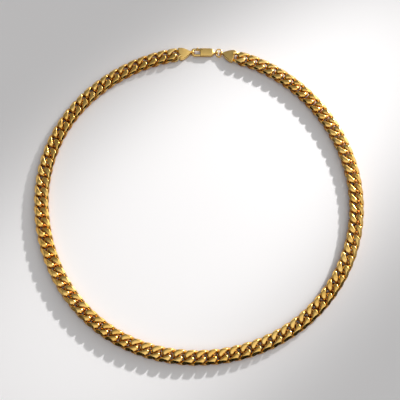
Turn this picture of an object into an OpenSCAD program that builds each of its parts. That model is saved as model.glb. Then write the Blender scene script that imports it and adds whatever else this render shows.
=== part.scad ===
// Curb chain necklace, closed, lying flat in a loop with its lobster clasp at the back.
// Millimetres. The loop lies on Z = 0, the clasp is on the +Y side, up is +Z.

/* [Chain] */
// Width of the chain across its links; every size of a link follows it
chain_width = 7.7; // [6.5:0.1:9]
// Links round the loop, with the one soldered to each end tab
link_count = 88; // [76:2:96]
// Thickness of the chain from its lower flats to its upper flats
chain_height = 4; // [3.8:0.05:4.2]

/* [End tabs] */
// From the middle of the soldered link to the middle of the tab's eye
tab_reach = 8.4; // [7.6:0.1:10]
// Width of the tab's wide end
tab_width = 5.4; // [4.6:0.1:6]
// Width of the tab's neck beside the eye
tab_neck = 1; // [0.8:0.05:1.3]

/* [Clasp] */
// From the hook bar to the middle of the tail eye
clasp_length = 12.7; // [12:0.1:15]
// Width of the clasp's flat back
clasp_width = 3.9; // [3.7:0.1:4.4]
// Thickness of the clasp's flat back
clasp_height = 2.3; // [2.1:0.05:2.4]
// Diameter of the round hook
hook_wire = 0.9; // [0.7:0.05:0.95]

/* [Jump ring] */
// Length of the oval over the middle of its wire
ring_length = 4.5; // [4:0.1:5.5]
// Width of the oval over the middle of its wire
ring_width = 2.5; // [2.4:0.05:3]
// Diameter of the ring's wire
ring_wire = 0.7; // [0.5:0.05:0.75]

/* [Lever] */
// Diameter of the pin that the lever turns on
pin_size = 0.7; // [0.5:0.05:0.8]
// Play between the pin and each bore, on the radius
pin_play = 0.04; // [0.02:0.01:0.08]
// Gap between the lever and the cheeks or the end of the hook
lever_gap = 0.11; // [0.08:0.01:0.16]

/* [Hidden] */
gold = [0.83, 0.66, 0.26];
pale_gold = [0.9, 0.75, 0.38];

// Link: an oval twisted so that two opposite leaves rise and two dip.
link_pitch = 0.7065 * chain_width;
half_long = 0.5026 * chain_width;
half_wide = 0.361 * chain_width;
wire_size = 0.2727 * chain_width;
spread = 0.27;
flat_cut = 0.28;
// The twist is what the thickness leaves once the flats are taken off the wire.
twist = chain_height / 2 + flat_cut - wire_size / 2;
link_steps = 12;
wire_sides = 6;
chain_mid = chain_height / 2;

// Loop: nearly a circle, with small waves given as shares of its radius, [cosine, sine].
waves = [[-0.0146, -0.0021], [0.001, -0.0026], [0, -0.0035], [0.001, 0.0016]];
// Moves the middle of the whole necklace onto the axis.
shift = [-0.16, -0.14];
function wave(a) = 1 + waves[0][0] * cos(2 * a) + waves[0][1] * sin(2 * a)
    + waves[1][0] * cos(3 * a) + waves[1][1] * sin(3 * a)
    + waves[2][0] * cos(4 * a) + waves[2][1] * sin(4 * a)
    + waves[3][0] * cos(5 * a) + waves[3][1] * sin(5 * a);
function unit_at(f) = wave(90 - f) * [cos(90 - f), sin(90 - f)];
arc_step = 0.5;
arc_count = 720;
// [distance travelled, turn clockwise from the top] for a loop of radius 1
arc_table = [for (i = 0, s = 0; i <= arc_count;
    s = s + norm(unit_at((i + 1) * arc_step) - unit_at(i * arc_step)), i = i + 1) [s, i * arc_step]];
unit_round = arc_table[arc_count][0];

eye_run = clasp_length + ring_width;
loop_length = (link_count - 1) * link_pitch + 2 * tab_reach + eye_run - 0.1;
loop_radius = loop_length / unit_round;
// Point and direction at a distance s clockwise from the top of the loop
function wrapped(s) = s < 0 ? s + loop_length : (s >= loop_length ? s - loop_length : s);
function loop_at(s) = loop_radius * unit_at(lookup(wrapped(s) / loop_radius, arc_table)) + shift;
function unit(v) = v / norm(v);
function heading(s) = unit(loop_at(s + 0.4) - loop_at(s - 0.4));
function left_of(v) = [-v[1], v[0]];
function along(s, out) = loop_at(s) + out * left_of(heading(s));

// Clasp run: hook eye, tail eye and the far tab's eye stand a little outside the loop.
clasp_start = -0.21 * eye_run;
hook_eye = along(clasp_start, 0.7);
tail_guess = along(clasp_start + clasp_length * 0.991, 0.95);
clasp_dir = unit(tail_guess - hook_eye);
clasp_out = left_of(clasp_dir);
tail_eye = hook_eye + clasp_length * clasp_dir;
ring_eye = tail_eye + ring_width * clasp_dir - 0.4 * clasp_out;
// The soldered links stand on the loop just as far from their eyes as a tab is long.
function ahead(s, n) = n == 0 ? s : ahead(s + tab_reach - norm(loop_at(s) - ring_eye), n - 1);
function behind(s, n) = n == 0 ? s : behind(s - tab_reach + norm(loop_at(s) - hook_eye), n - 1);
first_link = ahead(clasp_start + eye_run + tab_reach, 6);
last_link = behind(clasp_start - tab_reach, 6);
real_pitch = (loop_length - first_link + last_link) / (link_count - 1);
function link_place(k) = first_link + k * real_pitch;

// Soft step from 0 to 1
function soft(x) = let (c = max(0, min(1, x))) c * c * (3 - 2 * c);
function tanh(x) = (exp(x) - exp(-x)) / (exp(x) + exp(-x));

// Middle line of a link at angle t; nip draws it in where it goes into a tab.
function nip(t, held) = held ? soft((abs(t) - 70) / 50) : 0;
function link_line(t, held) = let (n = nip(t, held)) [
    half_long * cos(t),
    half_wide * sin(t) * (1 - 0.45 * n),
    -twist * tanh(sin(2 * t)) / tanh(1) * (1 - 0.25 * n)];
// One ring of the wire's section; the wire is wider where the leaves are pressed.
function wire_ring(t, held) = let (
    mid = link_line(t, held),
    dir = unit(link_line(t + 0.2, held) - link_line(t - 0.2, held)),
    side = unit(cross(dir, [0, 0, 1])),
    rise = cross(side, dir),
    r = wire_size / 2 * (1 - 0.3 * nip(t, held)),
    wide = r * (1 + spread * pow(sin(2 * t), 2)))
    [for (j = [0:wire_sides - 1]) let (
        p = mid + wide * cos(j * 360 / wire_sides) * side + r * sin(j * 360 / wire_sides) * rise)
        [p[0], p[1], max(-chain_mid, min(chain_mid, p[2]))]];
// Turns a point of a link into the loop: x runs along dir, y to its left
function set_at(p, at, dir) = [
    at[0] + p[0] * dir[0] - p[1] * dir[1],
    at[1] + p[0] * dir[1] + p[1] * dir[0],
    chain_mid + p[2]];

closed_link = [for (i = [0:link_steps - 1]) each wire_ring(i * 360 / link_steps, false)];

// Triangles between two rings of points, and the same turned over
function ring_faces(a, b, sides) = [for (j = [0:sides - 1]) each [
    [a + j, b + (j + 1) % sides, b + j],
    [a + j, a + (j + 1) % sides, b + (j + 1) % sides]]];

// A run of loose links, one closed solid each
module links(from, to) {
    size = link_steps * wire_sides;
    corners = [for (k = [from:to]) let (at = loop_at(link_place(k)), dir = heading(link_place(k)))
        each [for (p = closed_link) set_at(p, at, dir)]];
    skin = [for (k = [0:to - from], i = [0:link_steps - 1])
        each ring_faces(k * size + i * wire_sides, k * size + ((i + 1) % link_steps) * wire_sides, wire_sides)];
    polyhedron(corners, skin);
}

// The open loop of wire soldered to a tab, from one end inside the tab round to the other
module soldered_link(at, dir) {
    steps = 12;
    reach = 122;
    corners = [for (i = [0:steps]) each [for (p = wire_ring(-reach + i * 2 * reach / steps, true)) set_at(p, at, dir)]];
    skin = [for (i = [0:steps - 1]) each ring_faces(i * wire_sides, (i + 1) * wire_sides, wire_sides)];
    polyhedron(corners, concat(skin,
        [[for (j = [wire_sides - 1:-1:0]) j]],
        [[for (j = [0:wire_sides - 1]) steps * wire_sides + j]]));
}

// A body lofted along x through rings with rounded corners.
// Each station is [x, middle y, half width, lower z, upper z].
corner_points = 3;
function soft_box(s, edge) = let (
    h = (s[4] - s[3]) / 2,
    r = min(edge, 0.9 * s[2], 0.9 * h))
    [for (c = [0:3], i = [0:corner_points - 1]) let (
        a = c * 90 + i * 90 / (corner_points - 1),
        cy = (c == 0 || c == 3 ? 1 : -1) * (s[2] - r),
        cz = (c < 2 ? 1 : -1) * (h - r))
        [s[0], s[1] + cy + r * cos(a), (s[3] + s[4]) / 2 + cz + r * sin(a)]];
module loft(stations, edge) {
    sides = 4 * corner_points;
    last = len(stations) - 1;
    corners = [for (s = stations) each soft_box(s, edge)];
    skin = [for (i = [0:last - 1]) each ring_faces(i * sides, (i + 1) * sides, sides)];
    polyhedron(corners, concat(
        [for (f = skin) [f[0], f[2], f[1]]],
        [[for (j = [0:sides - 1]) j]],
        [[for (j = [sides - 1:-1:0]) last * sides + j]]));
}

// Eyes stand upright with their holes along y; everything in the clasp run shares one middle height.
run_mid = clasp_height / 2 + 0.1;
pass_gap = 0.15;
tab_eye_hole = hook_wire / 2 + pass_gap;
tab_eye_size = min(run_mid - 0.1, tab_eye_hole + 0.5);
tail_eye_hole = ring_wire / 2 + pass_gap;
tail_eye_size = min(run_mid - 0.15, tail_eye_hole + 0.5);
eye_thick = 0.85;

module facing(at, dir) {
    translate([at[0], at[1], 0])
        rotate([0, 0, atan2(dir[1], dir[0])])
            children();
}

module upright_rod(radius, thick) {
    rotate([90, 0, 0])
        cylinder(h = thick, r = radius, center = true, $fn = 48);
}

// Tab in its own frame: soldered link at the origin, eye at x = tab_reach
tab_begin = 0.144 * chain_width;
tab_end = tab_reach - tab_eye_size + 0.25;
tab_steps = 9;
module tab_plate() {
    loft([for (i = [0:tab_steps]) let (
        x = tab_begin + (tab_end - tab_begin) * i / tab_steps,
        g = soft((tab_end - x) / (0.8 * (tab_end - tab_begin))),
        f = i == 0 ? 0.93 : 1)
        [x, 0, f * (tab_neck / 2 + (tab_width - tab_neck) / 2 * g),
            run_mid - 0.6 - g * (run_mid - 0.65),
            run_mid + 0.6 + g * (chain_height - 0.05 - run_mid - 0.6)]], 0.5);
}

// The eye faces along the clasp run, so that the bar or ring in it runs straight through.
module end_tab(link_at, link_dir, eye_at) {
    union() {
        soldered_link(link_at, link_dir);
        difference() {
            union() {
                facing(link_at, eye_at - link_at)
                    tab_plate();
                facing(eye_at, clasp_dir)
                    translate([0, 0, run_mid])
                        upright_rod(tab_eye_size, eye_thick);
            }
            facing(eye_at, clasp_dir)
                translate([0, 0, run_mid])
                    upright_rod(tab_eye_hole, 4);
        }
    }
}

// Clasp in its own frame: hook bar at the origin, tail eye at x = clasp_length
hook_half = clasp_width / 2 - 0.12;
hook_bend = 0.9;
back_start = 0.325 * clasp_length;
back_end = clasp_length - 1.5;
tip_end = 1.45;
pivot = [back_start + 0.8, clasp_width / 2 - 0.68];
knuckle = pin_size / 2 + 0.33;
lever_thick = clasp_height - 1.4;
slot_thick = lever_thick + 2 * lever_gap;
lever_reach = pivot[0] - tip_end - lever_gap;

module hook() {
    translate([hook_bend, -hook_half, 0])
        rotate([0, 90, 0])
            cylinder(h = back_start - hook_bend - 0.1, d = hook_wire, $fn = 32);
    translate([back_start - 0.1, -hook_half, 0])
        rotate([0, 90, 0])
            cylinder(h = 1.7, r1 = hook_wire / 2, r2 = 0.08, $fn = 32);
    translate([hook_bend, hook_bend - hook_half, 0])
        rotate([0, 0, 180])
            rotate_extrude(angle = 90, $fn = 48)
                translate([hook_bend, 0])
                    circle(d = hook_wire, $fn = 32);
    translate([0, hook_bend - hook_half, 0])
        rotate([-90, 0, 0])
            cylinder(h = 2 * (hook_half - hook_bend), d = hook_wire, $fn = 32);
    translate([hook_bend, hook_half - hook_bend, 0])
        rotate([0, 0, 90])
            rotate_extrude(angle = 90, $fn = 48)
                translate([hook_bend, 0])
                    circle(d = hook_wire, $fn = 32);
    translate([hook_bend, hook_half, 0])
        rotate([0, 90, 0])
            cylinder(h = tip_end - hook_bend, d = hook_wire, $fn = 32);
}

module clasp_back() {
    w = clasp_width / 2;
    h = clasp_height / 2;
    loft([[back_start, 0, 0.96 * w, -0.96 * h, 0.96 * h],
        [back_start + 0.2, 0, w, -h, h],
        [back_end - 1.3, 0, w, -h, h],
        [back_end - 0.7, -0.05, 0.86 * w, -h, h],
        [back_end - 0.2, -0.1, 0.62 * w, -0.92 * h, 0.92 * h],
        [back_end + 0.15, -0.05, 0.35 * w, -0.72 * h, 0.72 * h],
        [back_end + 0.75, 0, 0.425, -0.5 * h, 0.5 * h]], 0.45);
}

module clasp_body() {
    color(gold)
        translate([0, 0, run_mid])
            facing(hook_eye, clasp_dir)
                difference() {
                    union() {
                        hook();
                        clasp_back();
                        translate([clasp_length, 0, 0])
                            upright_rod(tail_eye_size, eye_thick);
                    }
                    translate([clasp_length, 0, 0])
                        upright_rod(tail_eye_hole, 4);
                    translate([back_start - 0.5, pivot[1] - knuckle - lever_gap, -slot_thick / 2])
                        cube([1.3 + knuckle + lever_gap, 3, slot_thick]);
                    translate([pivot[0], pivot[1], -3])
                        cylinder(h = 6, r = pin_size / 2 + pin_play, $fn = 48);
                }
}

// Lever in the clasp's frame, closed: a bar from the knuckle to the end of the hook, with a thumb nub
module clasp_lever() {
    bar = 0.82;
    color(pale_gold)
        translate([0, 0, run_mid])
            facing(hook_eye, clasp_dir)
                difference() {
                    union() {
                        translate([pivot[0], pivot[1], -lever_thick / 2])
                            cylinder(h = lever_thick, r = knuckle, $fn = 48);
                        intersection() {
                            translate([0, 0, -lever_thick / 2])
                                linear_extrude(lever_thick)
                                    polygon([
                                        [pivot[0] - lever_reach - 1, hook_half + bar / 2],
                                        [pivot[0] - lever_reach - 1, hook_half - bar / 2],
                                        [pivot[0] - 0.9, hook_half - bar / 2],
                                        [pivot[0] - 0.45, pivot[1] - 0.5],
                                        [pivot[0] + 0.25, pivot[1] + 0.3],
                                        [pivot[0], hook_half + bar / 2 - 0.15],
                                        [pivot[0] - 0.25, hook_half + bar / 2]]);
                            translate([pivot[0], pivot[1], -3])
                                cylinder(h = 6, r = lever_reach, $fn = 96);
                        }
                        translate([pivot[0] - 2.3, hook_half + bar / 2 - 0.25, 0])
                            rotate([-90, 0, 0])
                                cylinder(h = 0.85, r1 = 0.5 * lever_thick, r2 = 0.38 * lever_thick, $fn = 32);
                    }
                    translate([pivot[0], pivot[1], -3])
                        cylinder(h = 6, r = pin_size / 2 + pin_play, $fn = 48);
                }
}

module lever_pin() {
    length = clasp_height - 0.06;
    color(gold)
        translate([0, 0, run_mid])
            facing(hook_eye, clasp_dir)
                translate([pivot[0], pivot[1], -length / 2])
                    cylinder(h = length, d = pin_size, $fn = 48);
}

module jump_ring() {
    bend = ring_width / 2;
    straight = ring_length / 2 - bend;
    color(gold)
        translate([0, 0, run_mid])
            facing((tail_eye + ring_eye) / 2, clasp_dir) {
                for (s = [0, 180])
                    rotate([0, 0, s]) {
                        translate([0, straight, 0])
                            rotate_extrude(angle = 180, $fn = 48)
                                translate([bend, 0])
                                    circle(d = ring_wire, $fn = 32);
                        translate([bend, -straight, 0])
                            rotate([-90, 0, 0])
                                cylinder(h = 2 * straight, d = ring_wire, $fn = 32);
                    }
            }
}

module chain_right() {
    color(gold)
        links(1, link_count / 2 - 1);
}

module chain_left() {
    color(gold)
        links(link_count / 2, link_count - 2);
}

module end_tab_right() {
    color(gold)
        end_tab(loop_at(first_link), heading(first_link), ring_eye);
}

module end_tab_left() {
    color(gold)
        end_tab(loop_at(last_link), -heading(last_link), hook_eye);
}

chain_right();
chain_left();
end_tab_right();
end_tab_left();
clasp_body();
clasp_lever();
lever_pin();
jump_ring();
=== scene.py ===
# Curb chain necklace: loose links, two end tabs with their soldered links, a lobster clasp and a jump ring.
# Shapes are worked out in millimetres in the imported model's own frame and go into the meshes in metres.
import math
import bmesh
import bpy
import numpy as np
from mathutils import Matrix, Vector


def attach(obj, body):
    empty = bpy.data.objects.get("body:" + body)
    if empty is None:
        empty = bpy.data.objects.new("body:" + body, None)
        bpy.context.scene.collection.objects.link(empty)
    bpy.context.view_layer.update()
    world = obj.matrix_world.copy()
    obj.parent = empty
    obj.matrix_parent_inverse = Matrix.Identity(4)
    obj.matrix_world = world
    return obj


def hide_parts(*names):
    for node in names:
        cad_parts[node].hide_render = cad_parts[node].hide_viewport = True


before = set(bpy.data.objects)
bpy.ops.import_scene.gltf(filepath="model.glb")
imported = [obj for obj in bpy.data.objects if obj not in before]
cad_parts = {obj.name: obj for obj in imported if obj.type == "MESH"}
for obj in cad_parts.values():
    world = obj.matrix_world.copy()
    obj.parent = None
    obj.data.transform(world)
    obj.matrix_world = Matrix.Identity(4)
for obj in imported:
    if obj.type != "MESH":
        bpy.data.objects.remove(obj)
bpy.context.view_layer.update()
mm = 0.001
print("frame loaded:", len(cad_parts), "nodes")


# small tools

def unit(v):
    # each vector over its own length
    return v / np.linalg.norm(v, axis=-1, keepdims=True)


def soft(x):
    # smooth step: 3x^2 - 2x^3 between 0 and 1
    x = np.clip(x, 0, 1)
    return x * x * (3 - 2 * x)


def leftOf(v):
    # the flat direction turned a quarter turn to the left
    return np.stack([-v[..., 1], v[..., 0]], -1)


def setAt(points, at, direction, height=0.0):
    # x runs along direction, y to its left, z stays up; the origin goes to at
    x, y, z = points[..., 0:1], points[..., 1:2], points[..., 2:3]
    flat = np.asarray(at) + x * direction + y * leftOf(np.asarray(direction))
    return np.concatenate([flat, np.broadcast_to(z + height, flat[..., :1].shape)], -1)


def gridFaces(rows, columns, rowsClose=False):
    # quads between neighbouring rows of a grid whose columns always close on themselves
    i = np.arange(rows if rowsClose else rows - 1)[:, None]
    j = np.arange(columns)[None, :]
    nextRow, nextColumn = (i + 1) % rows, (j + 1) % columns
    a, b = i * columns + j, nextRow * columns + j
    c, d = nextRow * columns + nextColumn, i * columns + nextColumn
    return np.stack([d, c, b, a], -1).reshape(-1, 4)


def linked(name, data):
    # a new object in the scene
    made = bpy.data.objects.new(name, data)
    bpy.context.scene.collection.objects.link(made)
    return made


# the loop that the links lie on, the same as the solid model's

loop = dict(
    chainWidth=7.7, pitchShare=0.7065, linkCount=88,  # the pitch is a share of the chain's width
    chainHeight=4.0, tabReach=8.4, slack=0.1,  # a tab reaches from its link's middle to its eye
    claspLength=12.7, claspHeight=2.3, claspLift=0.1,
    ringLength=4.5, ringWidth=2.5,  # both over the middle of the ring's wire
    waves=[(-0.0146, -0.0021), (0.001, -0.0026), (0, -0.0035), (0.001, 0.0016)],  # cosine, sine
    middle=(-0.16, -0.14),
    claspStart=-0.21, tailShare=0.991,  # shares of the clasp's run and of its length
    hookOut=0.7, tailOut=0.95, ringIn=0.4)  # how far the eyes stand beside the loop
runMid = loop["claspHeight"] / 2 + loop["claspLift"]  # height of the middle of the clasp run
chainMid = loop["chainHeight"] / 2

# radius 1 + the sum of c cos(n turn) + s sin(n turn), n from 2 up
turn = np.radians(90 - np.arange(0, 360.5, 0.5))  # clockwise from the top
radius = 1 + sum(c * np.cos(n * turn) + s * np.sin(n * turn) for n, (c, s) in enumerate(loop["waves"], 2))
roundPoints = np.stack([radius * np.cos(turn), radius * np.sin(turn)], -1)
roundRun = np.concatenate([[0], np.cumsum(np.linalg.norm(np.diff(roundPoints, axis=0), axis=1))])
linkPitch = loop["pitchShare"] * loop["chainWidth"]
eyeRun = loop["claspLength"] + loop["ringWidth"]
loopLength = (loop["linkCount"] - 1) * linkPitch + 2 * loop["tabReach"] + eyeRun - loop["slack"]
loopRadius = loopLength / roundRun[-1]


def loopAt(s):
    # point at a distance s clockwise from the top
    u = np.mod(s, loopLength) / loopRadius
    place = np.stack([np.interp(u, roundRun, roundPoints[:, k]) for k in (0, 1)], -1)
    return loopRadius * place + loop["middle"]


def heading(s, step=0.4):
    # direction of travel at s: from a step before it to a step after it
    return unit(loopAt(s + step) - loopAt(s - step))


def along(s, out):
    # point at s, moved outwards
    return loopAt(s) + out * leftOf(heading(s))


claspBegin = loop["claspStart"] * eyeRun
hookEye = along(claspBegin, loop["hookOut"])
claspDir = unit(along(claspBegin + loop["tailShare"] * loop["claspLength"], loop["tailOut"]) - hookEye)
tailEye = hookEye + loop["claspLength"] * claspDir
ringEye = tailEye + loop["ringWidth"] * claspDir - loop["ringIn"] * leftOf(claspDir)
firstLink, lastLink = claspBegin + eyeRun + loop["tabReach"], claspBegin - loop["tabReach"]
for _ in range(6):  # slid along the loop until each tab reaches its eye
    firstLink += loop["tabReach"] - np.linalg.norm(loopAt(firstLink) - ringEye)
    lastLink -= loop["tabReach"] - np.linalg.norm(loopAt(lastLink) - hookEye)
linkRun = loopLength - firstLink + lastLink
linkSpots = firstLink + np.arange(loop["linkCount"]) * linkRun / (loop["linkCount"] - 1)
print("loop worked out:", round(float(loopLength), 1), "mm round")


# links

link = dict(
    halfLong=4.22, halfWide=2.68, fuller=-0.03,  # the oval that the middle of the wire follows
    wire=2.15, spreadOut=0.22, spreadIn=0.12, spreadEnd=0.27,  # how much wider the pressed wire gets
    twist=1.5, press=0.9,  # rise of the leaves, and how long they stay up
    flat=2.0, give=0.6,  # half height of the pressed link and the depth over which the pressing eases in
    lensRise=44.0, lensLean=0.1, lensOut=2.95, lensIn=3.32,  # the planed lens on each side of the wire
    nipWide=0.45, nipTwist=0.25, nipWire=0.3,  # shares that a soldered end loses
    yaw=0.9, yawBeat=2.4, toneBeat=5.7,  # small differences from link to link
    steps=72, sides=26)


def fuller(u):
    # a sine or cosine u swollen between its ends, u (1 + m (1 - u^2)); below 0, m makes it leaner
    return u * (1 + link["fuller"] * (1 - u * u))


def linkLine(t, nip=0.0):
    # an oval whose height follows a pressed sine of twice the angle, tanh(press sin 2t) / tanh(press)
    rise = np.tanh(link["press"] * np.sin(2 * t)) / math.tanh(link["press"])
    return np.stack([link["halfLong"] * fuller(np.cos(t)),
                     link["halfWide"] * fuller(np.sin(t)) * (1 - link["nipWide"] * nip),
                     -link["twist"] * rise * (1 - link["nipTwist"] * nip)], -1)


def planes(outer=1):
    # the four lenses as outward normals and distances; they are cut deeper on the outer side
    up = math.radians(link["lensRise"])
    lean = link["lensLean"] * math.sin(up)
    corners = [(side, rise) for side in (-1, 1) for rise in (-1, 1)]
    return [(unit(np.array([side * rise * lean, side * math.cos(up), rise * math.sin(up)])),
             link["lensOut" if side == outer else "lensIn"]) for side, rise in corners]


def pressed(z):
    # heights beyond flat - give ease in towards flat: give (1 - e^(-over / give))
    give, begin = link["give"], link["flat"] - link["give"]
    over = lambda height: give * (1 - np.exp(-np.maximum(height - begin, 0) / give))
    soften = lambda height: np.minimum(height, begin) + over(height)
    return np.sign(z) * soften(np.abs(z)) * link["flat"] / soften(link["twist"] + link["wire"] / 2)


def wireSurface(t, nip=0.0):
    # an oval carried along the link line, wider where the leaves are pressed, r (1 + spread sin^2 2t),
    # and inwards at the ends, + spreadEnd cos^8 t
    middle = linkLine(t, nip)
    ahead = unit(linkLine(t + 0.001, nip) - linkLine(t - 0.001, nip))
    side = unit(np.cross(ahead, [0, 0, 1.0]))
    r = link["wire"] / 2 * (1 - link["nipWire"] * np.asarray(nip)) * np.ones(len(t))
    tall = r[:, None] * np.cross(side, ahead)
    leaf = np.sin(2 * t) ** 2
    wideOut = (r * (1 + link["spreadOut"] * leaf))[:, None] * side
    wideIn = (r * (1 + link["spreadIn"] * leaf + link["spreadEnd"] * np.cos(t) ** 8))[:, None] * side
    s = np.linspace(0, 2 * np.pi, link["sides"], endpoint=False)
    c, s = np.cos(s)[None, :, None], np.sin(s)[None, :, None]
    spoke = np.where(c > 0, c * wideOut[:, None], c * wideIn[:, None]) + s * tall[:, None]
    points = middle[:, None] + spoke
    points[..., 2] = pressed(points[..., 2])
    return points


def planedBody(rows, close, cuts):
    # a closed skin over a grid of rings, cut off at every plane and covered there; planed faces get a mark
    count, sides = rows.shape[:2]
    faces = gridFaces(count, sides, close).tolist()
    if not close:
        end = np.arange(sides)
        faces += [end[::-1].tolist(), (end + (count - 1) * sides).tolist()]
    mesh = bpy.data.meshes.new("body")
    mesh.from_pydata(rows.reshape(-1, 3), [], faces)
    shell = bmesh.new()
    shell.from_mesh(mesh)
    if shell.calc_volume(signed=True) < 0:
        bmesh.ops.reverse_faces(shell, faces=shell.faces)
    mark = shell.faces.layers.int.new("mark")
    for n, reach in cuts:
        everything = shell.verts[:] + shell.edges[:] + shell.faces[:]
        bmesh.ops.bisect_plane(
            shell, geom=everything, dist=1e-5, plane_co=n * reach, plane_no=n, clear_outer=True)
        rim = [edge for edge in shell.edges if edge.is_boundary]
        if rim:
            for face in bmesh.ops.holes_fill(shell, edges=rim, sides=0)["faces"]:
                face[mark] = 1
    bmesh.ops.dissolve_degenerate(shell, dist=1e-4, edges=shell.edges)  # slivers that the cuts left
    bmesh.ops.triangulate(shell, faces=shell.faces)
    bmesh.ops.recalc_face_normals(shell, faces=shell.faces)
    shell.to_mesh(mesh)
    shell.free()
    points = np.zeros(len(mesh.vertices) * 3)
    corners = np.zeros(len(mesh.loops), int)
    marks = np.zeros(len(mesh.polygons), int)
    mesh.vertices.foreach_get("co", points)
    mesh.loops.foreach_get("vertex_index", corners)
    mesh.attributes["mark"].data.foreach_get("value", marks)
    bpy.data.meshes.remove(mesh)
    return points.reshape(-1, 3), corners.reshape(-1, 3), marks


def markPlaned(mesh, planed):
    # 1 on the faces that were filed flat, for the finish
    mesh.attributes.new("planed", "FLOAT", "FACE").data.foreach_set("value", planed.astype(np.float32))


def meshPiece(name, points, faces, planed):
    # one mesh from tables of points and triangles; planed faces are shaded flat
    mesh = bpy.data.meshes.new(name)
    mesh.vertices.add(len(points))
    mesh.vertices.foreach_set("co", (points * mm).astype(np.float32).ravel())
    mesh.loops.add(faces.size)
    mesh.loops.foreach_set("vertex_index", faces.astype(np.int32).ravel())
    mesh.polygons.add(len(faces))
    mesh.polygons.foreach_set("loop_start", np.arange(0, faces.size, faces.shape[1], dtype=np.int32))
    mesh.update(calc_edges=True)
    mesh.polygons.foreach_set("use_smooth", planed == 0)
    markPlaned(mesh, planed)
    return linked(name, mesh)


linkPoints, linkFaces, linkMarks = planedBody(
    wireSurface(np.linspace(0, 2 * np.pi, link["steps"], endpoint=False)), True, planes())
print("link shaped:", len(linkFaces), "triangles")


def chainRun(name, numbers):
    # the same link set down at every spot of a run, each turned a little its own way
    spots, ways = loopAt(linkSpots[numbers]), heading(linkSpots[numbers])
    yaws = np.radians(link["yaw"]) * np.sin(numbers * link["yawBeat"])
    ways = unit(ways + yaws[:, None] * leftOf(ways))
    points = setAt(linkPoints[None], spots[:, None], ways[:, None], chainMid).reshape(-1, 3)
    faces = (linkFaces[None] + len(linkPoints) * np.arange(len(numbers))[:, None, None]).reshape(-1, 3)
    piece = meshPiece(name, points, faces, np.tile(linkMarks, len(numbers)))
    tones = np.repeat((np.sin(numbers * link["toneBeat"]) + 1) / 2, len(linkPoints)).astype(np.float32)
    piece.data.attributes.new("tone", "FLOAT", "POINT").data.foreach_set("value", tones)
    return piece


halfway = loop["linkCount"] // 2
chainRight = chainRun("chain_right_links", np.arange(1, halfway))
chainLeft = chainRun("chain_left_links", np.arange(halfway, loop["linkCount"] - 1))
print("links made:", loop["linkCount"] - 2)


# bodies of the tabs and the clasp

skin = dict(sharp=24.0, upright=0.97)  # edges kept sharp, and how level a filed face is


def solidPart(rows, close=False, cuts=(), at=lambda points: points):
    # a grid of rings as a closed body, filed at the planes and then set in its place
    points, faces, _ = planedBody(rows, close, cuts)
    mesh = bpy.data.meshes.new("part")
    mesh.from_pydata(at(points), [], faces.tolist())
    return linked("part", mesh)


def fused(name, parts, holes=()):
    # all the parts as one skin, less the holes, in metres; what looks straight up or down is the filed face
    body = parts[0]
    for other, work in [(p, "UNION") for p in parts[1:]] + [(h, "DIFFERENCE") for h in holes]:
        step = body.modifiers.new(work, "BOOLEAN")
        step.operation, step.solver, step.object = work, "EXACT", other
    bpy.context.view_layer.update()
    mesh = bpy.data.meshes.new_from_object(body.evaluated_get(bpy.context.evaluated_depsgraph_get()))
    for other in [*parts, *holes]:
        bpy.data.objects.remove(other)
    mesh.name = name
    mesh.transform(Matrix.Scale(mm, 4))
    mesh.polygons.foreach_set("use_smooth", np.ones(len(mesh.polygons), bool))
    mesh.set_sharp_from_angle(angle=math.radians(skin["sharp"]))
    normals = np.zeros(len(mesh.polygons) * 3, np.float32)
    mesh.polygons.foreach_get("normal", normals)
    markPlaned(mesh, np.abs(normals.reshape(-1, 3)[:, 2]) > skin["upright"])
    return linked(name, mesh)


def slabSurface(x, middle, half, low, high, edge, arc=5):
    # flat-faced sections along x whose corners are quarter circles of radius edge, or less where it is thin
    cut = np.minimum(edge, 0.45 * np.minimum(2 * half, high - low))[:, None]
    a = np.radians(np.linspace(0, 90, arc))
    a = np.concatenate([a, a + np.pi / 2, a + np.pi, a + 1.5 * np.pi])
    sideY = np.repeat([1, -1, -1, 1], arc)
    sideZ = np.repeat([1, 1, -1, -1], arc)
    y = middle[:, None] + sideY * (half[:, None] - cut) + cut * np.cos(a)
    z = (high + low)[:, None] / 2 + sideZ * ((high - low)[:, None] / 2 - cut) + cut * np.sin(a)
    return np.stack([np.broadcast_to(x[:, None], y.shape), y, z], -1)


def latheSurface(radii, heights, steps=48, axis="z"):
    # a profile of radii and heights turned round the axis: r cos, r sin and the height
    turnBy = np.linspace(0, 2 * np.pi, steps, endpoint=False)
    r, h = np.asarray(radii, float)[:, None], np.asarray(heights, float)[:, None] + 0 * turnBy
    c, s = r * np.cos(turnBy), r * np.sin(turnBy)
    return np.stack([c, s, h] if axis == "z" else [c, h, s], -1)


def wirePath(line, thick, sides=24, close=False):
    # a circle of radius thick carried along a flat line
    steps = np.roll(line, -1, 0) - np.roll(line, 1, 0) if close else np.gradient(line, axis=0)
    side = unit(np.cross(unit(steps), [0, 0, 1.0]))
    s = np.linspace(0, 2 * np.pi, sides, endpoint=False)
    ring = np.cos(s)[None, :, None] * side[:, None] + np.sin(s)[None, :, None] * np.array([0, 0, 1.0])
    return line[:, None] + np.broadcast_to(thick, len(line))[:, None, None] * ring


def eyeSurface(hole, size, thick):
    # a ring on edge: a squared-off oval section, cos^0.55 by sin^0.55, turned round the y axis
    s = np.linspace(0, 2 * np.pi, 16, endpoint=False)
    push = lambda v: np.sign(v) * np.abs(v) ** 0.55
    radii = (hole + size) / 2 + (size - hole) / 2 * push(np.cos(s))
    return latheSurface(radii, thick / 2 * push(np.sin(s)), axis="y")


# end tabs

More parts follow.
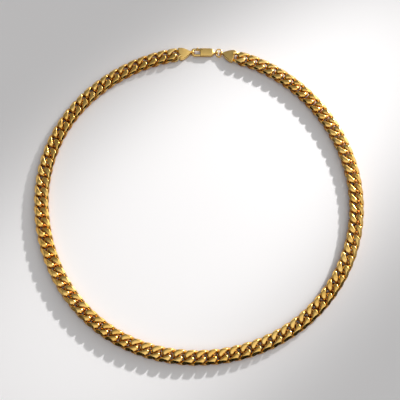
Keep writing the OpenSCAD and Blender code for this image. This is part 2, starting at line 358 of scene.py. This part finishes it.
tab = dict(
    begin=1.109, neck=1.0, width=6.6, flare=0.85,  # the plate widens over this share of its length
    low=0.35, high=3.1, neckHigh=2.5, bevel=0.4, endBevel=0.4,
    eyeHole=0.7, eyeSize=1.1, eyeThick=0.85, overlap=0.25,  # how far the neck reaches into the eye
    wireReach=122.0, nipFrom=70.0, nipOver=50.0,  # degrees round the link from its free end
    wireSteps=64, steps=48)


def tabPiece(name, spot, way, eye, outer):
    # soldered wire, a plate that widens from neck to end as a quarter sine, and an eye on edge
    t = np.radians(np.linspace(-tab["wireReach"], tab["wireReach"], tab["wireSteps"]))
    wire = wireSurface(t, soft((np.abs(np.degrees(t)) - tab["nipFrom"]) / tab["nipOver"]))
    begin, end = tab["begin"], loop["tabReach"] - tab["eyeSize"] + tab["overlap"]
    corner = np.radians(np.linspace(0, 90, 6))
    x = np.concatenate([begin + tab["endBevel"] * (1 - np.cos(corner)),
                        np.linspace(begin + tab["endBevel"], end, tab["steps"])[1:]])
    inset = np.concatenate([tab["endBevel"] * (1 - np.sin(corner)), np.zeros(tab["steps"] - 1)])
    spread = np.sin(np.pi / 2 * np.clip((end - x) / (tab["flare"] * (end - begin)), 0, 1))
    half = tab["neck"] / 2 + (tab["width"] - tab["neck"]) / 2 * spread - inset
    high = tab["neckHigh"] + (end - x) / (end - begin) * (tab["high"] - tab["neckHigh"]) - inset
    plate = slabSurface(x, 0 * x, half, tab["low"] + inset, high, tab["bevel"])
    plate = setAt(plate, spot, unit(eye - spot))
    ring = setAt(eyeSurface(tab["eyeHole"], tab["eyeSize"], tab["eyeThick"]), eye, claspDir, runMid)
    soldered = solidPart(wire, False, planes(outer), lambda points: setAt(points, spot, way, chainMid))
    return fused(name, [solidPart(plate), soldered, solidPart(ring, True)])


tabRight = tabPiece("tab_right", loopAt(linkSpots[0]), heading(linkSpots[0]), ringEye, 1)
tabLeft = tabPiece("tab_left", loopAt(linkSpots[-1]), -heading(linkSpots[-1]), hookEye, -1)
print("end tabs made")


# clasp: a hook of round wire and a flat back with the tail eye; x runs from the hook's bar to the tail

clasp = dict(
    wire=1.2, armMore=0.08, bend=0.95, halfHook=1.68, tipEnd=1.45,  # hook
    backStart=4.1275, backEnd=11.2, backWide=4.3, bevel=0.34, slotIn=0.8,  # back, and its slot to the pin
    eyeHole=0.5, eyeSize=1.0, eyeThick=0.85,  # tail eye
    pivot=(4.93, 1.27), pin=0.7, pinPlay=0.04, pinLength=2.24,
    knuckle=0.68, leverThick=0.9, leverHalf=0.58, leverBevel=0.14,
    leverGap=0.11, tipGap=0.13, nubBack=2.3)  # gaps at the cheeks and the tip; from the pin to the nub
backTable = [  # share of the back's length, middle y, share of its half width, share of its half height
    (0.0, 0, 0.95, 0.94), (0.03, 0, 1.0, 1.0), (0.8, 0, 1.0, 1.0), (0.89, -0.05, 0.87, 1.0),
    (0.965, -0.1, 0.62, 0.94), (1.02, -0.05, 0.36, 0.74), (1.105, 0, 0.21, 0.5)]


def quarter(centre, size, begin, steps=14):
    # a quarter circle clockwise from the angle begin
    a = np.radians(begin - np.linspace(0, 90, steps))
    return np.stack([centre[0] + size * np.cos(a), centre[1] + size * np.sin(a), 0 * a], -1)


def hookSurface():
    # root, quarter bend, bar, quarter bend and tip, with a pointed root inside the back
    h, b = clasp["halfHook"], clasp["bend"]
    rootX = np.array([1.6, 0.8, -0.1, -0.6, -1.4, -2.2]) + clasp["backStart"]
    root = np.stack([rootX, 0 * rootX - h, 0 * rootX], -1)
    tipX = np.array([b + 0.2, clasp["tipEnd"] - 0.06, clasp["tipEnd"]])
    tip = np.stack([tipX, 0 * tipX + h, 0 * tipX], -1)
    line = np.concatenate([root, quarter((b, b - h), b, 270), quarter((b, h - b), b, 180), tip])
    # thinner where the eye hangs
    thick = clasp["wire"] / 2 + clasp["armMore"] * soft(np.abs(line[:, 1]) / h)
    thick[:2] = (0.08, 0.27)
    thick[-1] -= 0.06
    return wirePath(line, thick)


def backSurface():
    # the table's shares, read along the length and rounded by a running mean that leaves the ends alone
    table = np.array(backTable)
    u = np.linspace(0, table[-1, 0], 90)
    mean, kept = np.ones(7) / 7, 4
    values = []
    for k in (1, 2, 3):
        v = np.interp(u, table[:, 0], table[:, k])
        values.append(np.concatenate([v[:kept], np.convolve(v, mean, "valid")[1:-1], v[-kept:]]))
    middle, wide, tall = values
    x = clasp["backStart"] + u * (clasp["backEnd"] - clasp["backStart"])
    tall = tall * loop["claspHeight"] / 2
    return slabSurface(x, middle, wide * clasp["backWide"] / 2, -tall, tall, clasp["bevel"])


def boxSurface(low, high):
    # a plain box between two corners
    x, y, z = zip(low, high)
    ring = np.array([(y[0], z[0]), (y[1], z[0]), (y[1], z[1]), (y[0], z[1])])
    return np.stack([np.concatenate([np.full((4, 1), v), ring], 1) for v in x])


def claspPart(rows, close=False):
    # a body given in the clasp's own place
    return solidPart(setAt(rows, hookEye, claspDir, runMid), close)


def pinBore():
    # the hole for the pin and its play, through cheeks and knuckle
    size = clasp["pin"] / 2 + clasp["pinPlay"]
    return claspPart(latheSurface([size, size], [-3, 3]) + np.array([*clasp["pivot"], 0]))


def claspPiece():
    # back, hook and tail eye, less the lever's slot and the pin's bore
    py = clasp["pivot"][1]
    tail = eyeSurface(clasp["eyeHole"], clasp["eyeSize"], clasp["eyeThick"])
    tail = tail + np.array([loop["claspLength"], 0, 0])
    play = clasp["knuckle"] + clasp["leverGap"]
    slotHalf = clasp["leverThick"] / 2 + clasp["leverGap"]
    slot = boxSurface((clasp["backStart"] - 0.5, py - play, -slotHalf),
                      (clasp["backStart"] + clasp["slotIn"] + play, py + 3, slotHalf))
    return fused("clasp_back", [claspPart(backSurface()), claspPart(hookSurface()), claspPart(tail, True)],
                 [claspPart(slot), pinBore()])


def leverPiece():
    # a bar to the end of the hook, a disc round the pin and a thumb nub
    px, py = clasp["pivot"]
    h, w, thick = clasp["halfHook"], clasp["leverHalf"], clasp["leverThick"] / 2
    table = np.array([  # x, lower y, upper y
        (clasp["tipEnd"] + clasp["tipGap"], h - w, h + w), (px - 0.9, h - w, h + w),
        (px - 0.45, py - 0.5, h + w), (px - 0.2, py - 0.2, h + w), (px + 0.2, py + 0.2, h - 0.1)])
    x = np.linspace(table[0, 0], table[-1, 0], 40)
    low, high = np.interp(x, table[:, 0], table[:, 1]), np.interp(x, table[:, 0], table[:, 2])
    tall = thick + 0 * x
    bar = slabSurface(x, (low + high) / 2, (high - low) / 2, -tall, tall, clasp["leverBevel"])
    size, flank, edge = clasp["knuckle"], thick - 0.03, 0.08  # the disc is a little thinner than the bar
    disc = latheSurface([size - edge, size, size, size - edge], [-flank, edge - flank, flank - edge, flank])
    nub = latheSurface([0.45, 0.44, 0.41, 0.38, 0.33, 0.24, 0.12],
                       [-0.25, 0.03, 0.22, 0.38, 0.47, 0.53, 0.55], 32, "y")
    parts = [bar, disc + np.array([px, py, 0]), nub + np.array([px - clasp["nubBack"], h + w, 0])]
    return fused("thumb_lever", [claspPart(rows) for rows in parts], [pinBore()])


def pinPiece():
    # a pin with rounded heads
    r, reach = clasp["pin"] / 2, clasp["pinLength"] / 2
    rows = latheSurface([0.5 * r, 0.85 * r, r, r, 0.85 * r, 0.5 * r],
                        [-reach, 0.04 - reach, 0.12 - reach, reach - 0.12, reach - 0.04, reach])
    return fused("hinge_pin", [claspPart(rows + np.array([*clasp["pivot"], 0]))])


claspBody, claspLever, leverPin = claspPiece(), leverPiece(), pinPiece()


# jump ring: round wire bent to an oval with straight sides

jump = dict(wire=0.7, sides=20, bendSteps=28)


def ringPiece():
    # two half circles joined by straight stretches
    bend, straight = loop["ringWidth"] / 2, (loop["ringLength"] - loop["ringWidth"]) / 2
    a = np.linspace(0, np.pi, jump["bendSteps"])
    arc = np.stack([bend * np.cos(a), straight + bend * np.sin(a), 0 * a], -1)
    rows = wirePath(np.concatenate([arc, -arc]), jump["wire"] / 2, jump["sides"], True)
    rows = setAt(rows, (tailEye + ringEye) / 2, claspDir, runMid)
    return fused("jump_ring_wire", [solidPart(rows, True)])


jumpRing = ringPiece()
print("clasp and ring made")


# gold finishes

# each finish also sets the painted shade low down: its darker, redder gold, its greatest share, the height
# where it fades out, and roughness added with it
finishes = {
    "chain_gold": dict(
        light=(0.96, 0.65, 0.21), deep=(0.86, 0.50, 0.11), smooth=0.15, rough=0.22, planed=0.10,
        shadeColour=(0.46, 0.16, 0.03), shadeMost=1.0, shadeTop=0.0034, shadeRough=0.12, wear=0.08, bump=0.12),
    "satin_gold": dict(
        light=(0.92, 0.64, 0.22), deep=(0.88, 0.58, 0.17), smooth=0.16, rough=0.26, planed=0.34,
        shadeColour=(0.50, 0.22, 0.06), shadeMost=0.7, shadeTop=0.0020, shadeRough=0.08, wear=0.06, bump=0.35),
    "wire_gold": dict(
        light=(0.95, 0.63, 0.21), deep=(0.90, 0.56, 0.15), smooth=0.12, rough=0.22, planed=0.12,
        shadeColour=(0.50, 0.22, 0.06), shadeMost=0.7, shadeTop=0.0014, shadeRough=0.08, wear=0.08, bump=0.10)}
pattern = dict(
    cloud=380.0, scratch=2500.0, rub=900.0, grain=9000.0,  # fineness of each noise
    cloudShare=0.55, toneShare=0.45,  # of the way from the light gold to the deep one
    stretch=(1.0, 7.0, 1.0), stretchTurn=0.6, planedMore=0.06, shadeBottom=0.0006, grainDeep=0.00002)
mixSockets = {"FLOAT": (2, 3, 0), "RGBA": (6, 7, 2)}  # the two inputs and the output of each kind of mix


def node(tree, kind, **values):
    # a new node with its sockets or settings given by name
    made = tree.nodes.new(kind)
    for key, value in values.items():
        if key in made.inputs:
            made.inputs[key].default_value = value
        else:
            setattr(made, key, value)
    return made


def put(tree, source, socket):
    # another node's output, or else a constant, into a socket
    if isinstance(source, bpy.types.NodeSocket):
        tree.links.new(source, socket)
    else:
        socket.default_value = source


def ranged(tree, source, low, high, fromLow=0.0, fromHigh=1.0, ease="LINEAR"):
    # the stretch fromLow to fromHigh of a value carried to low to high
    made = node(tree, "ShaderNodeMapRange", interpolation_type=ease)
    for key, value in (("From Min", fromLow), ("From Max", fromHigh), ("To Min", low), ("To Max", high)):
        made.inputs[key].default_value = value
    put(tree, source, made.inputs["Value"])
    return made.outputs["Result"]


def joined(tree, kind, a, b):
    # the sum or the product of two values
    total = node(tree, "ShaderNodeMath", operation=kind)
    put(tree, a, total.inputs[0])
    put(tree, b, total.inputs[1])
    return total.outputs[0]


def mixed(tree, kind, share, a, b):
    # a (1 - share) + b share
    made = node(tree, "ShaderNodeMix", data_type=kind)
    first, second, result = mixSockets[kind]
    put(tree, share, made.inputs[0])
    put(tree, a, made.inputs[first])
    put(tree, b, made.inputs[second])
    return made.outputs[result]


def noise(tree, place, scale, detail):
    # soft noise of one fineness
    made = node(tree, "ShaderNodeTexNoise", Scale=scale, Detail=detail)
    put(tree, place, made.inputs["Vector"])
    return made.outputs["Fac"]


def goldFinish(name, look):
    # metal whose colour drifts between two golds, with painted shade low down, and whose roughness follows
    # scratches and wear
    material = bpy.data.materials.new(name)
    material.use_nodes = True
    tree = material.node_tree
    shader = tree.nodes["Principled BSDF"]
    shader.inputs["Metallic"].default_value = 1.0
    place = node(tree, "ShaderNodeTexCoord").outputs["Object"]
    tone = node(tree, "ShaderNodeAttribute", attribute_name="tone").outputs["Fac"]
    planed = node(tree, "ShaderNodeAttribute", attribute_name="planed").outputs["Fac"]

    cloud = noise(tree, place, pattern["cloud"], 3.0)
    share = joined(tree, "ADD", ranged(tree, cloud, 0.0, pattern["cloudShare"], 0.35, 0.65),
                   ranged(tree, tone, 0.0, pattern["toneShare"]))
    tint = mixed(tree, "RGBA", share, (*look["light"], 1), (*look["deep"], 1))
    height = node(tree, "ShaderNodeSeparateXYZ")  # painted shade: darker, redder gold low down, standing in for the shade and gold-on-gold reflection deep between the links
    put(tree, place, height.inputs[0])
    bottom, top = pattern["shadeBottom"], look["shadeTop"]
    paintedShade = ranged(tree, height.outputs["Z"], look["shadeMost"], 0.0, bottom, top)
    put(tree, mixed(tree, "RGBA", paintedShade, tint, (*look["shadeColour"], 1)), shader.inputs["Base Color"])

    stretch = node(tree, "ShaderNodeMapping")
    stretch.inputs["Scale"].default_value = pattern["stretch"]
    stretch.inputs["Rotation"].default_value = (0.0, 0.0, pattern["stretchTurn"])
    put(tree, place, stretch.inputs["Vector"])
    scratch = noise(tree, stretch.outputs["Vector"], pattern["scratch"], 5.0)
    polished = ranged(tree, scratch, look["smooth"], look["rough"], 0.3, 0.7)
    filed = ranged(tree, scratch, look["planed"], look["planed"] + pattern["planedMore"], 0.3, 0.7)
    rub = noise(tree, place, pattern["rub"], 2.0)  # patches worn duller by handling
    worn = joined(tree, "ADD", mixed(tree, "FLOAT", planed, polished, filed),
                  ranged(tree, rub, 0.0, look["wear"], 0.5, 0.72))
    worn = joined(tree, "ADD", worn, ranged(tree, paintedShade, 0.0, look["shadeRough"]))
    put(tree, worn, shader.inputs["Roughness"])

    bump = node(tree, "ShaderNodeBump", Strength=look["bump"], Distance=pattern["grainDeep"])
    put(tree, noise(tree, place, pattern["grain"], 4.0), bump.inputs["Height"])
    put(tree, bump.outputs["Normal"], shader.inputs["Normal"])
    return material


golds = {name: goldFinish(name, look) for name, look in finishes.items()}
pieces = [
    (chainRight, "chain_gold", "necklace", "chain_right"),
    (chainLeft, "chain_gold", "necklace", "chain_left"),
    (tabRight, "satin_gold", "necklace", "end_tab_right"),
    (tabLeft, "satin_gold", "necklace", "end_tab_left"),
    (claspBody, "satin_gold", "necklace", "clasp_body"),
    (claspLever, "wire_gold", "lever", "clasp_lever"),
    (leverPin, "wire_gold", "necklace", "lever_pin"),
    (jumpRing, "wire_gold", "necklace", "jump_ring")]
for piece, slot, body, replaced in pieces:
    piece.data.materials.clear()
    piece.data.materials.append(golds[slot])
    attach(piece, body)
    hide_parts(replaced)
print("finishes set")


# camera at the photo's angle

shot = dict(rise=70.0, distance=577.8, target=(0.616, -0.892, 2.1), lens=103.4, nearest=0.01)
cameraData = bpy.data.cameras.new("camera")
camera = linked("camera", cameraData)
rise = math.radians(shot["rise"])
ahead = Vector((0, math.cos(rise), -math.sin(rise)))
camera.location = (Vector(shot["target"]) - shot["distance"] * ahead) * mm
camera.rotation_euler = ahead.to_track_quat("-Z", "Y").to_euler()
cameraData.lens = shot["lens"]
cameraData.clip_start = shot["nearest"]
bpy.context.scene.camera = camera


# floor and light, in metres

studio = dict(
    floorSize=6.0, floorColour=(0.88, 0.875, 0.88), floorRough=0.6,
    keyTurn=45.0, keyRise=22.0, keyAway=1.2, keyAim=(0.005, -0.005, 0.0),  # one low lamp at the upper right
    keyPower=87.0, keyRadius=0.032, keyCone=4.6, keyBlend=0.85, keyColour=(1.0, 0.985, 0.975),
    skyColour=(1.0, 0.99, 0.985), least=0.012)
glows = dict(  # direction, the cosines where it begins and is full, strength
    above=((0.25, -0.35, 0.9), 0.66, 0.88, 1.0),
    rim=((0, 0, 1), 0.46, 0.62, 1.0),  # keeps the light above off the low sky
    beside=((0.70, 0.66, 0.30), 0.80, 0.95, 1.7),
    north=((-0.35, 0.88, 0.32), 0.2, 0.7, 0.2))

side = studio["floorSize"] / 2
floorCorners = [(-side, -side, 0), (side, -side, 0), (side, side, 0), (-side, side, 0)]
floorMesh = bpy.data.meshes.new("floor")
floorMesh.from_pydata(floorCorners, [], [(0, 1, 2, 3)])
floor = linked("floor", floorMesh)
floorMaterial = bpy.data.materials.new("floor")
floorMaterial.use_nodes = True
floorShader = floorMaterial.node_tree.nodes["Principled BSDF"]
floorShader.inputs["Base Color"].default_value = (*studio["floorColour"], 1)
floorShader.inputs["Roughness"].default_value = studio["floorRough"]
floorMesh.materials.append(floorMaterial)

keyData = bpy.data.lights.new("key", "SPOT")
key = linked("key", keyData)
keyData.energy, keyData.color = studio["keyPower"], studio["keyColour"]
keyData.shadow_soft_size = studio["keyRadius"]
keyData.spot_size, keyData.spot_blend = math.radians(2 * studio["keyCone"]), studio["keyBlend"]
keyTurn, keyRise = math.radians(studio["keyTurn"]), math.radians(studio["keyRise"])
keyFlat = math.cos(keyRise)
keyWay = Vector((math.cos(keyTurn) * keyFlat, math.sin(keyTurn) * keyFlat, math.sin(keyRise)))
key.location = Vector(studio["keyAim"]) + studio["keyAway"] * keyWay
key.rotation_euler = (-keyWay).to_track_quat("-Z", "Y").to_euler()

world = bpy.data.worlds.new("studio")
bpy.context.scene.world = world
world.use_nodes = True
sky = world.node_tree
skyPlace = node(sky, "ShaderNodeTexCoord").outputs["Generated"]


def glow(way, begin, full, strength):
    # light from one side of the room, rising softly between two cosines from its middle
    dot = node(sky, "ShaderNodeVectorMath", operation="DOT_PRODUCT")
    put(sky, skyPlace, dot.inputs[0])
    dot.inputs[1].default_value = unit(np.array(way))
    return ranged(sky, dot.outputs["Value"], 0.0, strength, begin, full, "SMOOTHSTEP")


shine = {name: glow(*values) for name, values in glows.items()}
total = joined(sky, "MULTIPLY", shine["above"], shine["rim"])
for more in (shine["beside"], shine["north"], studio["least"]):
    total = joined(sky, "ADD", total, more)
put(sky, total, sky.nodes["Background"].inputs["Strength"])
sky.nodes["Background"].inputs["Color"].default_value = (*studio["skyColour"], 1)
bpy.context.scene.view_settings.view_transform = "Standard"
print("studio lit")
